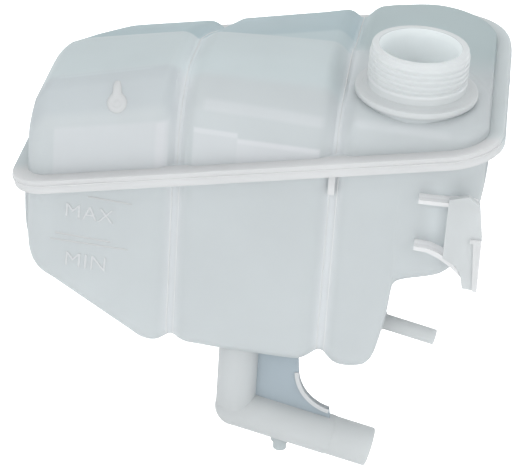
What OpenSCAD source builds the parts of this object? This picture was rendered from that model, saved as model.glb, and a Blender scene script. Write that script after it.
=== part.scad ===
// Coolant expansion tank: two moulded half shells welded at a sloping flange.
// Millimetres. Z runs up the filler neck, whose rim is at Z 0. X runs along the
// long front wall and Y from the front wall to the back wall.

/* [Body] */
// length of the body wall at the weld line
body_len = 239.8; // [200:0.2:280]
// depth of the body wall, front to back
body_depth = 177.8; // [150:0.2:210]
// distance from neck axis to the right end wall
neck_to_right = 40.3; // [35:0.1:60]
// distance from neck axis to the front wall
neck_to_front = 34.8; // [34:0.1:60]
// wall thickness of both shells
wall = 2.8; // [2:0.1:4]
// height of the neck rim over the weld line
weld_drop = 48; // [40:0.5:60]
// slope of the weld line, rising to the right, in degrees
weld_tilt = 11; // [0:0.5:15]
// depth of the middle chambers' floor under the neck rim
floor_drop = 182.4; // [160:0.2:220]
// depth of the left chamber's floor at its left end
left_drop = 147.2; // [125:0.2:170]
// depth of the right chamber's floor
right_drop = 122; // [105:0.5:140]
// depth of the grooves between the chambers
groove_depth = 4.2; // [1:0.1:6]
// width of one flank of a groove
groove_flank = 11; // [6:0.5:16]
// left groove, from the neck axis
groove_left = 119; // [100:0.5:130]
// how much the left groove leans right towards the back
groove_lean = 4; // [0:0.5:8]
// right groove, from the neck axis
groove_right = 36.8; // [34:0.1:50]

/* [Flange] */
// how far the flange stands out of the wall
flange_out = 8; // [4:0.5:12]
// thickness of each half of the flange
flange_t = 3; // [2:0.1:5]

/* [Neck] */
// outer radius of the neck below its thread
neck_r = 25.2; // [20:0.1:30]
// bore radius of the neck
neck_bore_r = 19.8; // [15:0.1:25]
// collar radius at the foot of the neck
collar_r = 32.2; // [28:0.1:34]
// depth of the collar's upper face under the rim
collar_drop = 24.4; // [20:0.1:30]
// thickness of the collar
collar_t = 4; // [2:0.1:6]

/* [Outlet] */
// outer radius of the outlet column and pipe
outlet_r = 11.1; // [8:0.1:15]
// bore radius of the outlet
outlet_bore_r = 8.3; // [5:0.1:12]
// outlet column, left of the neck axis
outlet_x = 81.8; // [60:0.1:100]
// outlet column, in front of the neck axis
outlet_y = 16; // [0:0.5:20]
// length of the outlet column, from the floor to the elbow centre
column_len = 41.6; // [34:0.2:60]
// length of the outlet pipe from the elbow centre
outlet_len = 79; // [50:1:110]
// fall of the outlet pipe and the vent spigot, in degrees
pipe_fall = 12.6; // [0:0.1:20]
// thickness of the web between column and pipe
web_t = 2.6; // [2:0.1:5]
// free end of the outlet pipe that a hose goes over
hose_len = 23; // [15:1:40]
// stub of the column that belongs to the floor
stub_len = 5.6; // [4:0.2:10]

/* [Vent spigot] */
// outer radius of the vent spigot
vent_r = 4.3; // [3:0.1:8]
// bore radius of the vent spigot
vent_bore_r = 2.5; // [1.5:0.1:6]
// free length of the vent spigot
vent_len = 32.4; // [15:0.1:50]
// thicker root of the vent spigot
vent_root = 3.6; // [1:0.1:8]
// height of the spigot's root centre over the floor
vent_rise = 24; // [18:0.5:34]
// spigot, in front of the neck axis
vent_y = 14; // [-40:0.5:25]

/* [Locating pin and bracket] */
// radius of the locating pin under the outlet pipe
pin_r = 3.9; // [2:0.1:6]
// length of the locating pin under the pipe
pin_len = 7; // [4:0.5:15]
// thicker root of the pin
pin_root = 2.6; // [1:0.1:3]
// distance of the pin from the outlet column
pin_out = 26.5; // [10:0.5:40]
// how far the bracket stands in front of the front wall
bracket_out = 7.6; // [5:0.1:15]
// thickness of the bracket plate and arms
bracket_t = 3; // [2:0.1:5]

/* [Hidden] */
$fn = 72;
// gap between the two halves of the flange
weld_gap = 0.05;
// right edge of the web, from the neck axis
web_right = -outlet_x + 32.6;
// how far the web and the column reach into the floor
root = 1.9;
// how far the column's bore runs up past the floor
bore_reach = 12.4;
// room past the wall that clears the flange
clear = flange_out + 12;
elbow_drop = floor_drop + column_len;
outlet_split = floor_drop + stub_len;
fz = -floor_drop;
xr = neck_to_right;
xl = xr - body_len;
yf0 = -neck_to_front;
yb0 = yf0 + body_depth;
gl = -groove_left;
gr = -groove_right;
slope = tan(weld_tilt);
// where the lower shell's chambers meet, left and right
cut_left = gl + 0.4;
cut_right = 3;
r_fl = 12;
r_fr = 20;
r_bl = 27;
r_br = 42;

function weld_z(x) = -weld_drop + slope * x;
function bump(x, g) = pow(max(0, 1 - abs(x - g) / groove_flank), 2);
function groove(x) = groove_depth * (bump(x, gl) + bump(x, gr));
function arc_in(d, r) = d >= r ? 0 : r - sqrt(max(0, r * r - (r - d) * (r - d)));
function front_y(x, t) =
    yf0 + t + arc_in(x - xl - t, r_fl - t) + arc_in(xr - t - x, r_fr - t);
function back_y(x, t) =
    yb0 - t - arc_in(x - xl - t, r_bl - t) - arc_in(xr - t - x, r_br - t);

// rounded polyline: each inner corner becomes a short quadratic curve
function seg_len(a, b) = max(0.001, norm(b - a));
function corner_pts(a, b, c, r, n) =
    let (
        ra = min(r, 0.46 * seg_len(a, b)),
        rc = min(r, 0.46 * seg_len(b, c)),
        p = b + (a - b) * ra / seg_len(a, b),
        q = b + (c - b) * rc / seg_len(b, c)
    )
    [for (k = [0:n]) let (u = k / n) p * (1 - u) * (1 - u) + b * 2 * u * (1 - u) + q * u * u];
function rounded(pts, rr, n) = [
    for (i = [0:len(pts) - 1])
        each (i == 0 || i == len(pts) - 1 || rr[i] == 0)
            ? [pts[i]] : corner_pts(pts[i - 1], pts[i], pts[i + 1], rr[i], n)
];

// unit inward normal of an outline of [x, z] points, up is +1 for a floor
function turn(o, i) =
    let (
        a = o[max(0, i - 1)],
        b = o[min(len(o) - 1, i + 1)],
        d = (b - a) / norm(b - a)
    )
    i == 0 ? [1, 0] : i == len(o) - 1 ? [-1, 0] : [-d[1], d[0]];

// a shell from outer and inner grids of points that share one topology
module shell(outer, inner, flip) {
    n = len(outer);
    m = len(outer[0]);
    pts = concat([for (c = outer) each c], [for (c = inner) each c]);
    base = n * m;
    loop = concat(
        [for (i = [0:n - 1]) i * m],
        [for (j = [1:m - 1]) (n - 1) * m + j],
        [for (i = [n - 2:-1:0]) i * m + m - 1],
        [for (j = [m - 2:-1:1]) j]
    );
    k = len(loop);
    outside = [
        for (i = [0:n - 2], j = [0:m - 2])
            each [
                [i * m + j, i * m + j + 1, (i + 1) * m + j + 1],
                [i * m + j, (i + 1) * m + j + 1, (i + 1) * m + j]
            ]
    ];
    inside = [for (f = outside) [f[2] + base, f[1] + base, f[0] + base]];
    rim = [
        for (q = [0:k - 1])
            let (a = loop[q], b = loop[(q + 1) % k])
            each [[a, b, b + base], [a, b + base, a + base]]
    ];
    faces = concat(outside, inside, rim);
    polyhedron(points = pts, faces = flip ? [for (f = faces) [f[2], f[1], f[0]]] : faces, convexity = 8);
}

// greatest height over the weld line near the upper shell's left and right ends
left_cap = [
    [0, 0], [0.4, 14], [1.2, 27.5], [2.6, 35], [5, 41.5], [8, 46.3], [12, 50], [18, 53], [26, 57], [60, 80]
];
right_cap = [
    [0, 0], [0.4, 5], [1.2, 8.5], [2.6, 10.8], [5, 12.6], [9, 14.4], [16, 17.5], [30, 30], [60, 80]
];
function end_cap(x) = min(lookup(x - xl, left_cap), lookup(xr - x, right_cap));

// a level face that lies drop under the neck rim, as height over the weld line
function deck(x, drop) = weld_drop - drop - slope * x;
function level(drop, from = -30) = [[from, deck(from, drop)], [36, deck(36, drop)]];

// edges of the roof from front to back: [x, height over the weld line]
front_top = concat(
    [[-182, 28.5], [-125, 30.2], [-112, 24.7], [-89, 20.6], [-66, 12.9], [-44, 8.6]], level(33)
);
slope_foot = concat(
    [[-182, 41], [-125, 43], [-108, 37.1], [-88, 32.3], [-67, 27.4], [-46, 23.8]], level(28.4)
);
slope_head = concat([[-186, 50.2], [-125, 53.5], [-108, 51.3], [-76, 45.1], [-46, 39.2]], level(28));
crest = concat(
    [[-182, 51.7], [-125, 52.5], [-108, 50.2], [-76, 44.8], [-46, 39.2], [-36, 34]], level(28)
);
step_foot = concat(
    [[-197, 33], [-190, 35.5], [-182, 37.8], [-125, 39], [-108, 46], [-76, 38], [-46, 30.5], [-36, 26]],
    level(33.5, -26)
);
back_top = [
    [-190, 9.5], [-170, 12.2], [-120, 11.6], [-60, 12.4], [-20, 14.6], [5, 13.4], [17, 11.8], [29, 9.8],
    [40, 7.6]
];
// how far the same edges lie behind the front wall: [x, distance]
slope_foot_y = [[-125, 9.5], [-112, 7], [-44, 7], [-30, 9], [36, 9]];
slope_head_y = [[-125, 18], [-112, 31], [-46, 31], [-30, 34], [36, 34]];
crest_y = [[-125, 64], [-46, 64], [-34, 79], [-26, 83], [0, 84], [22, 81], [33, 66], [40, 50]];
step_foot_y = [[-125, 104], [-108, 76], [-46, 104], [-34, 92], [22, 90], [33, 76], [40, 60]];

// section of the upper shell at x: [distance behind the front wall, height over the weld line]
function roof(x) = [
    [1.4, lookup(x, front_top)],
    [lookup(x, slope_foot_y), lookup(x, slope_foot)],
    [lookup(x, slope_head_y), lookup(x, slope_head)],
    [lookup(x, crest_y), lookup(x, crest)],
    [lookup(x, step_foot_y), lookup(x, step_foot)],
    [body_depth - 5, lookup(x, back_top)]
];
function roof_r() = [0, 0, 6, 9, 12, 6, 12, 6, 0, 0];
function upper_ctrl(x, xin, t, nz) =
    let (
        f = front_y(xin, t),
        b = back_y(xin, t),
        g = groove(x),
        s = (b - f) / body_depth,
        c = end_cap(x),
        lip = min(c, flange_t)
    )
    concat(
        [[f, 0], [f + g, lip]],
        [for (p = roof(x)) [
            min(b - 0.6 - g, max(f + g + 0.4, f + p[0] * s + (p[0] < 20 ? g : p[0] > 150 ? -g : 0))),
            max(lip + 0.01, min(c, p[1]) - g - t * nz)
        ]],
        [[b - g, lip], [b, 0]]
    );
function upper_xs() = concat(
    [for (d = [0, 0.4, 1.2, 2.6, 5, 8, 12, 18, 26]) xl + d],
    [for (u = [0.25, 0.5, 0.75]) (xl + 26) * (1 - u) + (gl - 11) * u],
    [for (d = [-11, -8, -5.5, -3.5, -1.8, 0, 1.8, 3.5, 5.5, 8, 11]) gl + d],
    [for (x = [-100, -88, -76, -64, -54]) x],
    [for (d = [-11, -8, -5.5, -3.5, -1.8, 0, 1.8, 3.5, 5.5, 8, 11]) gr + d],
    [for (x = [-17, -8, 1, 10, 18]) x],
    [for (d = [16, 11, 7.5, 5, 2.6, 1.2, 0.4, 0]) xr - d]
);
function upper_top(x) = min(end_cap(x), max([for (p = roof(x)) p[1]])) - groove(x);
function upper_grid(t) =
    let (
        xs = upper_xs(),
        o = [for (x = xs) [x, -upper_top(x)]]
    )
    [for (i = [0:len(xs) - 1])
        let (
            nrm = turn(o, i),
            xin = xs[i] + t * nrm[0],
            lean = groove_lean * max(0, 1 - abs(xs[i] - gl) / 44) / body_depth,
            pr = rounded(upper_ctrl(xs[i], xin, t, nrm[1]), roof_r(), 3)
        )
        [for (p = pr)
            let (x = xin + lean * (p[0] - yf0))
            [x, p[0], weld_z(x) + p[1] * ((i == 0 || i == len(xs) - 1) ? 0 : 1)]]
    ];

// floor of the lower shell as [x, z]
function mix(a, b, u) = a * (1 - u) + b * u;
function slope_pt(u) = [mix(xl + 16, gl - 17, u), mix(-left_drop, fz + 4, u)];
function step_z(u) = mix(fz + 11, -right_drop - 4.2, u);
function floor_line() = [
    // left end wall and its rounded foot
    [xl, weld_z(xl)],
    [xl + 0.1, mix(weld_z(xl), -left_drop + 31.2, 0.45)],
    [xl + 0.2, -left_drop + 31.2],
    [xl + 0.6, -left_drop + 22.2],
    [xl + 2.2, -left_drop + 13.7],
    [xl + 5.6, -left_drop + 7.8],
    [xl + 10, -left_drop + 3.8],
    // sloping floor of the left chamber
    for (u = [0, 0.16, 0.43, 0.68, 0.9, 1]) slope_pt(u),
    // left groove
    [gl - 13, fz + 2.6],
    [gl - 9.5, fz + 2.8],
    [gl - 6.5, fz + 3.8],
    [gl - 3.6, fz + 6],
    [gl - 1.4, fz + 7.8],
    [cut_left, fz + 8.2],
    [gl + 2.4, fz + 6.8],
    [gl + 5, fz + 4.6],
    [gl + 9, fz + 3.4],
    [gl + 17, fz + 2.6],
    // floor of the middle chamber
    [-90, fz + 1.4],
    [-78, fz + 0.6],
    [-66, fz + 0.2],
    [-54, fz],
    [-49, fz + 0.4],
    // right groove
    [gr - 8.5, fz + 2.4],
    [gr - 5, fz + 6],
    [gr - 2.4, fz + 8.4],
    [gr, fz + 9],
    [gr + 2, fz + 7.8],
    [gr + 4.4, fz + 4.8],
    [gr + 7.4, fz + 2],
    // deep chamber and its right wall
    [gr + 11.5, fz + 0.6],
    [gr + 17, fz + 0.6],
    [-13, fz + 2.2],
    [-9.4, fz + 5.8],
    [-7.2, step_z(0)],
    [-6.2, step_z(0.16)],
    [-5.4, step_z(0.52)],
    [-4.6, step_z(0.9)],
    [-3.4, step_z(1)],
    // floor of the right chamber
    [-0.8, -right_drop - 1.8],
    [cut_right, -right_drop - 0.4],
    [8, -right_drop + 1],
    [15, -right_drop + 3],
    [xr - 18, -right_drop + 6],
    // right end wall
    [xr - 12.6, -right_drop + 10.6],
    [xr - 8.4, -right_drop + 18],
    [xr - 4.8, -right_drop + 28],
    [xr - 1.6, -right_drop + 44],
    [xr - 0.3, mix(-right_drop + 44, weld_z(xr), 0.48)],
    [xr, weld_z(xr)]
];
function lower_ctrl(x, xin, t, h) =
    let (
        f = front_y(xin, t),
        b = back_y(xin, t),
        g = groove(x) * 0.75,
        lip = max(h, -flange_t),
        draft = 2.2 * min(1, -h / 100)
    )
    [
        [f, 0],
        [f + g, lip],
        [f + g + draft, min(lip - 0.01, h)],
        [(f + b) / 2, min(lip - 0.01, h)],
        [b - g - draft, min(lip - 0.01, h)],
        [b - g, lip],
        [b, 0]
    ];
function lower_grid(t) =
    let (
        o = floor_line(),
        n = len(o)
    )
    [for (i = [0:n - 1])
        let (
            nrm = turn(o, i),
            xin = o[i][0] + t * nrm[0],
            z0 = weld_z(xin),
            h = (i == 0 || i == n - 1) ? 0 : o[i][1] + t * nrm[1] - z0,
            pr = rounded(lower_ctrl(o[i][0], xin, t, h), [0, 0, 12, 0, 14, 0, 0], 5)
        )
        [for (p = pr) [xin, p[0], z0 + p[1] * ((i == 0 || i == n - 1) ? 0 : 1)]]
    ];

// flat outline of the flange, in the weld plane, grown by g from the wall
function arc_pts(cx, cy, r, from) =
    [for (k = [0:12]) [cx + r * cos(from + 7.5 * k), cy + r * sin(from + 7.5 * k)]];
module weld_outline(g) {
    k = 1 / cos(weld_tilt);
    polygon(concat(
        arc_pts(xl * k + r_fl, yf0 + r_fl, r_fl + g, 180),
        arc_pts(xr * k - r_fr, yf0 + r_fr, r_fr + g, 270),
        arc_pts(xr * k - r_br, yb0 - r_br, r_br + g, 0),
        arc_pts(xl * k + r_bl, yb0 - r_bl, r_bl + g, 90)
    ));
}

module flange(up) {
    translate([0, 0, -weld_drop])
        rotate([0, -weld_tilt, 0])
        translate([0, 0, up ? weld_gap : -flange_t])
        linear_extrude(flange_t - weld_gap)
        difference() {
            weld_outline(flange_out);
            weld_outline(-wall * 0.6);
        }
}

// which of a list of places is at x
function column_at(xs, x) = [for (i = [0:len(xs) - 1]) if (abs(xs[i] - x) < 0.01) i][0];
function lower_xs() = [for (p = floor_line()) p[0]];

// the stretch of a grid from one column to another
function columns(g, from, to) = [for (i = [from:to]) g[i]];

// the flange between two places, each leaning by its own amount to the back
module flange_stretch(up, a, b, lean_a, lean_b) {
    y0 = yf0 - flange_out - 5;
    y1 = yb0 + flange_out + 5;
    la = lean_a / body_depth;
    lb = lean_b / body_depth;
    intersection() {
        flange(up);
        translate([0, 0, -weld_drop - 150])
            linear_extrude(300)
            polygon([
                [a + la * (y0 - yf0), y0],
                [b + lb * (y0 - yf0), y0],
                [b + lb * (y1 - yf0), y1],
                [a + la * (y1 - yf0), y1]
            ]);
    }
}

// the upper shell from a to b, with its stretch of the flange
module upper_stretch(a, b, lean_a, lean_b) {
    from = column_at(upper_xs(), a);
    to = column_at(upper_xs(), b);
    shell(columns(upper_grid(0), from, to), columns(upper_grid(wall), from, to), false);
    flange_stretch(true, a == xl ? xl - clear : a, b == xr ? xr + clear : b, lean_a, lean_b);
}

// the lower shell from a to b, with its stretch of the flange
module lower_stretch(a, b) {
    from = column_at(lower_xs(), a);
    to = column_at(lower_xs(), b);
    shell(columns(lower_grid(0), from, to), columns(lower_grid(wall), from, to), true);
    flange_stretch(false, a == xl ? xl - clear : a, b == xr ? xr + clear : b, 0, 0);
}

module neck_solid() {
    rotate_extrude()
        polygon([
            [neck_bore_r - 1, -collar_drop - collar_t - wall - 1],
            [collar_r - 4, -collar_drop - collar_t - wall - 1],
            [collar_r - 1.2, -collar_drop - collar_t],
            [collar_r, -collar_drop - collar_t + 1],
            [collar_r, -collar_drop - 0.8],
            [collar_r - 1, -collar_drop],
            [neck_r + 2.4, -collar_drop + 0.6],
            [neck_r + 0.6, -collar_drop + 2.6],
            [neck_r + 0.6, -collar_drop + 4.4],
            [neck_r, -collar_drop + 5],
            [neck_r, -1.4],
            [neck_r - 1.2, 0],
            [neck_bore_r - 1, 0]
        ]);
}

module upper_left() {
    color("#dfe4e4") upper_stretch(xl, gl, 0, groove_lean);
}

module upper_mid() {
    color("#dfe4e4") upper_stretch(gl, gr, groove_lean, 0);
}

module upper_right() {
    color("#dfe4e4")
    difference() {
        union() {
            upper_stretch(gr, xr, 0, 0);
            neck_solid();
        }
        translate([0, 0, -collar_drop - collar_t - 14])
            cylinder(r = neck_bore_r, h = collar_drop + collar_t + 15);
    }
}

module along_pipe() {
    translate([-outlet_x, -outlet_y, -elbow_drop])
        rotate([0, 90 + pipe_fall, 0])
        children();
}

module along_vent() {
    translate([-7.2, -vent_y, fz + vent_rise])
        rotate([0, 90 + pipe_fall, 0])
        children();
}

module web() {
    translate([0, -outlet_y + web_t / 2, 0])
        rotate([90, 0, 0])
        linear_extrude(web_t)
        difference() {
            polygon([
                [-outlet_x, fz + root],
                [web_right, fz + root],
                [web_right, -elbow_drop + 20],
                [-outlet_x + 54, -elbow_drop - 5],
                [-outlet_x + 54, -elbow_drop - 12],
                [-outlet_x, -elbow_drop]
            ]);
            translate([-outlet_x + 60.6, -elbow_drop + 27]) circle(27.5);
        }
}

module bracket() {
    yb = yf0 - bracket_out;
    // plate in front of the rounded corner
    translate([0, yb + bracket_t, 0])
        rotate([90, 0, 0])
        linear_extrude(bracket_t)
        polygon([
            [23.5, -70], [23.5, -65.4], [30, -63.4], [33.4, -62.4], [39.6, -66.6], [42.6, -86], [43.2, -117],
            [35.2, -116.4], [33.6, -108.4], [30.6, -103.6], [23.5, -99.6], [23.5, -95]
        ]);
    // upper arm back to the front wall
    translate([0, yf0 + 1.6, 0])
        rotate([90, 0, 0])
        linear_extrude(bracket_out + 1.6)
        polygon([[8, -69.4], [38.4, -69.4], [38.4, -68], [36.8, -67.2], [8, -67.2]]);
    // lower arm back to the front wall
    translate([0, yf0 + 1.6, 0])
        rotate([90, 0, 0])
        linear_extrude(bracket_out + 1.6)
        polygon([
            [8, -94.6], [15.4, -95], [21.4, -97.2], [26.8, -100.6], [31.4, -105], [34, -110],
            [30.8, -107], [26.4, -103.4], [20.6, -99.8], [15, -97.4], [8, -96.8]
        ]);
    // rib down the leg
    translate([0, yb + 1, 0])
        rotate([90, 0, 0])
        linear_extrude(2.2)
        polygon([[36.6, -86.4], [42.6, -86.4], [43.2, -117], [40.6, -117], [38.4, -88.6], [36.6, -88.6]]);
}

// outlet column and web down from the floor, with the column's bore
module column_bore() {
    translate([-outlet_x, -outlet_y, -elbow_drop - 5])
        cylinder(r = outlet_bore_r + 0.2, h = column_len + 5 + bore_reach);
}

module lower_left() {
    color("#d6dcdd") lower_stretch(xl, cut_left);
}

module lower_mid() {
    color("#d6dcdd")
    difference() {
        union() {
            lower_stretch(cut_left, gr);
            translate([-outlet_x, -outlet_y, -outlet_split])
                cylinder(r = outlet_r, h = stub_len + root + 0.5);
            translate([-outlet_x, -outlet_y - web_t / 2, -outlet_split])
                cube([web_right + outlet_x, web_t, stub_len + root]);
        }
        column_bore();
    }
}

module lower_deep() {
    color("#d6dcdd")
    difference() {
        union() {
            lower_stretch(gr, cut_right);
            along_vent() cylinder(r = vent_r, h = vent_len);
            along_vent() cylinder(r = vent_r + 1.1, h = vent_root);
        }
        along_vent() translate([0, 0, -5]) cylinder(r = vent_bore_r, h = vent_len + 6);
    }
}

module lower_right() {
    color("#d6dcdd") {
        lower_stretch(cut_right, xr);
        bracket();
    }
}

module outlet_pipe() {
    pin_x = -outlet_x + pin_out;
    pin_z = -elbow_drop - pin_out * tan(pipe_fall) - outlet_r;
    color("#d6dcdd")
    difference() {
        union() {
            translate([-outlet_x, -outlet_y, -elbow_drop])
                cylinder(r = outlet_r, h = elbow_drop - outlet_split);
            translate([-outlet_x, -outlet_y, -elbow_drop])
                sphere(outlet_r + 0.5);
            along_pipe() cylinder(r = outlet_r + 0.3, h = outlet_len - hose_len);
            along_pipe() cylinder(r = outlet_r, h = outlet_len);
            translate([pin_x, -outlet_y, pin_z - pin_len])
                cylinder(r = pin_r, h = pin_len + 3);
            translate([pin_x, -outlet_y, pin_z - pin_root])
                cylinder(r = pin_r + 1.4, h = pin_root + 3);
            intersection() {
                web();
                translate([-200, -50, -300]) cube([300, 100, 300 - outlet_split]);
            }
        }
        column_bore();
        along_pipe() translate([0, 0, -4]) cylinder(r = outlet_bore_r, h = outlet_len + 5);
    }
}

upper_left();
upper_mid();
upper_right();
lower_left();
lower_mid();
lower_deep();
lower_right();
outlet_pipe();
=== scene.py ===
"""Studio scene of a translucent coolant expansion tank.

Two half shells are welded at a sloping flange. Sizes are in millimetres in the
part's own frame and become metres when a mesh is made.
"""
import logging
import math
from dataclasses import dataclass, field
from enum import Enum
from functools import cached_property
from typing import Callable, Sequence

import bmesh
import bpy
import numpy as np
from mathutils import Matrix, Vector
from mathutils.bvhtree import BVHTree


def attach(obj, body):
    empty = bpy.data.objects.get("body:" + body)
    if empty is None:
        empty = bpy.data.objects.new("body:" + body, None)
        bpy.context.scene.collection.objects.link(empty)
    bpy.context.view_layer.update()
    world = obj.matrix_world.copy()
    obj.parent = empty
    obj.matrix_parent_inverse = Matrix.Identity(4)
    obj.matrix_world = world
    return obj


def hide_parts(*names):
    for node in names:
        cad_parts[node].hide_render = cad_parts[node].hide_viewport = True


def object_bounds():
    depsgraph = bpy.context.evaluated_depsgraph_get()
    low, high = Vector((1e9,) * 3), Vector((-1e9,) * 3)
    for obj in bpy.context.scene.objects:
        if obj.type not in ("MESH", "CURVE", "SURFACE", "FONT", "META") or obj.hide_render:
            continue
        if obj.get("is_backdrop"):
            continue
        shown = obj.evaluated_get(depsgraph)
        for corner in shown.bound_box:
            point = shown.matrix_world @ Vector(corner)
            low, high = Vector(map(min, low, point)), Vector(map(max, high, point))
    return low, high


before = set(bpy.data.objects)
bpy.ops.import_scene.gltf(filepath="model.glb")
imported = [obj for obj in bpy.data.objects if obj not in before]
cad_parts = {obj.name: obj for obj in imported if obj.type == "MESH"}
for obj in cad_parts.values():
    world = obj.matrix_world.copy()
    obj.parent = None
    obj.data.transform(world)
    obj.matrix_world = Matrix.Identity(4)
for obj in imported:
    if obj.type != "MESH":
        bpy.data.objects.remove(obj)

logging.basicConfig(level=logging.INFO, format="%(name)s: %(message)s")
log = logging.getLogger("tank")
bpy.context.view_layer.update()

MM = 0.001
FAR = 1000.0
Table = Sequence[tuple[float, float]]
Point = tuple[float, float, float]


class Slot(Enum):
    """Material slots of the record."""

    TANK = "tank"


class Node(Enum):
    """CAD nodes that the dressed pieces stand for."""

    UPPER = ("upper_left", "upper_mid", "upper_right")
    LOWER = ("lower_left", "lower_mid", "lower_deep", "lower_right", "outlet_pipe")


def look_up(x: float, table: Table) -> float:
    """Reads a piecewise linear table.

    Args:
        x: Place to read at.
        table: Pairs of place and value, in order.

    Returns:
        The value at x, held at both ends.
    """
    return float(np.interp(x, [p[0] for p in table], [p[1] for p in table]))


def soft(x: float, table: Table, reach: float = 3.0) -> float:
    """Reads a table with its kinks blended.

    Args:
        x: Place to read at.
        table: Pairs of place and value, in order.
        reach: Half width of the blend.

    Returns:
        The mean of five readings around x.
    """
    steps = (-1.0, -0.5, 0.0, 0.5, 1.0)
    return sum(look_up(x + s * reach, table) for s in steps) / len(steps)


def clamp01(v: float) -> float:
    """Limits a value to 0 to 1.

    Args:
        v: Any number.

    Returns:
        The number, held between 0 and 1.
    """
    return max(0.0, min(1.0, v))


@dataclass(frozen=True)
class TankSizes:
    """Main sizes of the tank in millimetres."""

    length: float = 239.8
    depth: float = 177.8
    right: float = 40.3
    front: float = 34.8
    wall: float = 2.8
    weld_drop: float = 48.0
    tilt: float = 11.0
    groove_depth: float = 4.2
    groove_flank: float = 11.0
    groove_left: float = -119.0
    groove_right: float = -36.8
    groove_flat: float = 1.8
    groove_lean: float = 4.0
    flange_out: float = 8.0
    flange_t: float = 3.0
    corner_fl: float = 12.0
    corner_fr: float = 20.0
    corner_bl: float = 27.0
    corner_br: float = 49.0

    @property
    def left(self) -> float:
        """X of the left end wall."""
        return self.right - self.length

    @property
    def front_wall(self) -> float:
        """Y of the front wall."""
        return -self.front

    @property
    def back_wall(self) -> float:
        """Y of the back wall."""
        return self.depth - self.front

    @property
    def slope(self) -> float:
        """Rise of the weld line per millimetre of X."""
        return math.tan(math.radians(self.tilt))

    def weld_z(self, x: float) -> float:
        """Height of the weld line.

        Args:
            x: Place along the tank.

        Returns:
            Z of the weld line at x.
        """
        return -self.weld_drop + self.slope * x

    def groove(self, x: float) -> float:
        """Depth of the grooves between the chambers.

        Args:
            x: Place along the tank.

        Returns:
            How far the wall stands back at x.
        """
        total = 0.0
        for centre in (self.groove_left, self.groove_right):
            away = max(0.0, abs(x - centre) - self.groove_flat)
            total += max(0.0, 1 - away / (self.groove_flank - self.groove_flat)) ** 2
        return self.groove_depth * total

    @staticmethod
    def arc_in(d: float, r: float) -> float:
        """Inset of a rounded corner.

        Args:
            d: Distance from the end wall.
            r: Corner radius.

        Returns:
            How far the outline stands in.
        """
        if d >= r:
            return 0.0
        return r - math.sqrt(max(0.0, r * r - (r - d) * (r - d)))

    def front_y(self, x: float, t: float) -> float:
        """Front outline.

        Args:
            x: Place along the tank.
            t: Distance inward from the outer face.

        Returns:
            Y of the front wall.
        """
        left = self.arc_in(x - self.left - t, self.corner_fl - t)
        right = self.arc_in(self.right - t - x, self.corner_fr - t)
        return self.front_wall + t + left + right

    def back_y(self, x: float, t: float) -> float:
        """Back outline.

        Args:
            x: Place along the tank.
            t: Distance inward from the outer face.

        Returns:
            Y of the back wall.
        """
        left = self.arc_in(x - self.left - t, self.corner_bl - t)
        right = self.arc_in(self.right - t - x, self.corner_br - t)
        return self.back_wall - t - left - right


SIZES = TankSizes()


@dataclass(frozen=True)
class Limit:
    """A slab of space with soft faces, in millimetres along a direction."""

    along: Point
    low: float = -FAR
    high: float = FAR
    blur: float = 2.0


@dataclass(frozen=True)
class Patch:
    """A stretch of the moulding that looks lighter or darker than the rest, mostly painted light and shade."""

    tint: tuple[float, float, float]
    limits: tuple[Limit, ...]


class Wiring:
    """Short hand for filling one shader tree."""

    def __init__(self, owner: bpy.types.Material | bpy.types.World) -> None:
        """Empties the owner's tree.

        Args:
            owner: Material or world to wire.
        """
        owner.use_nodes = True
        self.tree = owner.node_tree
        self.tree.nodes.clear()

    def add(self, kind: str, **values: object) -> bpy.types.Node:
        """Adds a node and fills in inputs that aren't linked.

        Args:
            kind: Blender's node type without its first word.
            values: Values by input, with an underscore for each space.

        Returns:
            The new node.
        """
        node = self.tree.nodes.new(f"ShaderNode{kind}")
        for name, value in values.items():
            node.inputs[name.replace("_", " ")].default_value = value
        return node

    def link(self, start: bpy.types.NodeSocket, end: bpy.types.NodeSocket) -> None:
        """Joins two sockets.

        Args:
            start: Output socket.
            end: Input socket.
        """
        self.tree.links.new(start, end)

    def blend(self, first: bpy.types.NodeSocket, second: bpy.types.NodeSocket) -> bpy.types.Node:
        """Mixes two shaders.

        Args:
            first: Shader at a factor of 0.
            second: Shader at a factor of 1.

        Returns:
            The mix node.
        """
        mix = self.add("MixShader")
        self.link(first, mix.inputs[1])
        self.link(second, mix.inputs[2])
        return mix

    def math(self, kind: str, a: bpy.types.NodeSocket, b: bpy.types.NodeSocket) -> bpy.types.NodeSocket:
        """Adds a maths node.

        Args:
            kind: Blender's name of the operation.
            a: First input.
            b: Second input.

        Returns:
            The result's socket.
        """
        node = self.add("Math")
        node.operation = kind
        self.link(a, node.inputs[0])
        self.link(b, node.inputs[1])
        return node.outputs[0]

    def seen_white(self) -> bpy.types.NodeSocket:
        """Adds a factor that is 1 where white is seen directly, mirrored or through something.

        Returns:
            The factor's socket.
        """
        path = self.add("LightPath").outputs
        direct = self.math("MAXIMUM", path["Is Camera Ray"], path["Is Glossy Ray"])
        return self.math("MAXIMUM", direct, path["Is Transmission Ray"])


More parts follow.
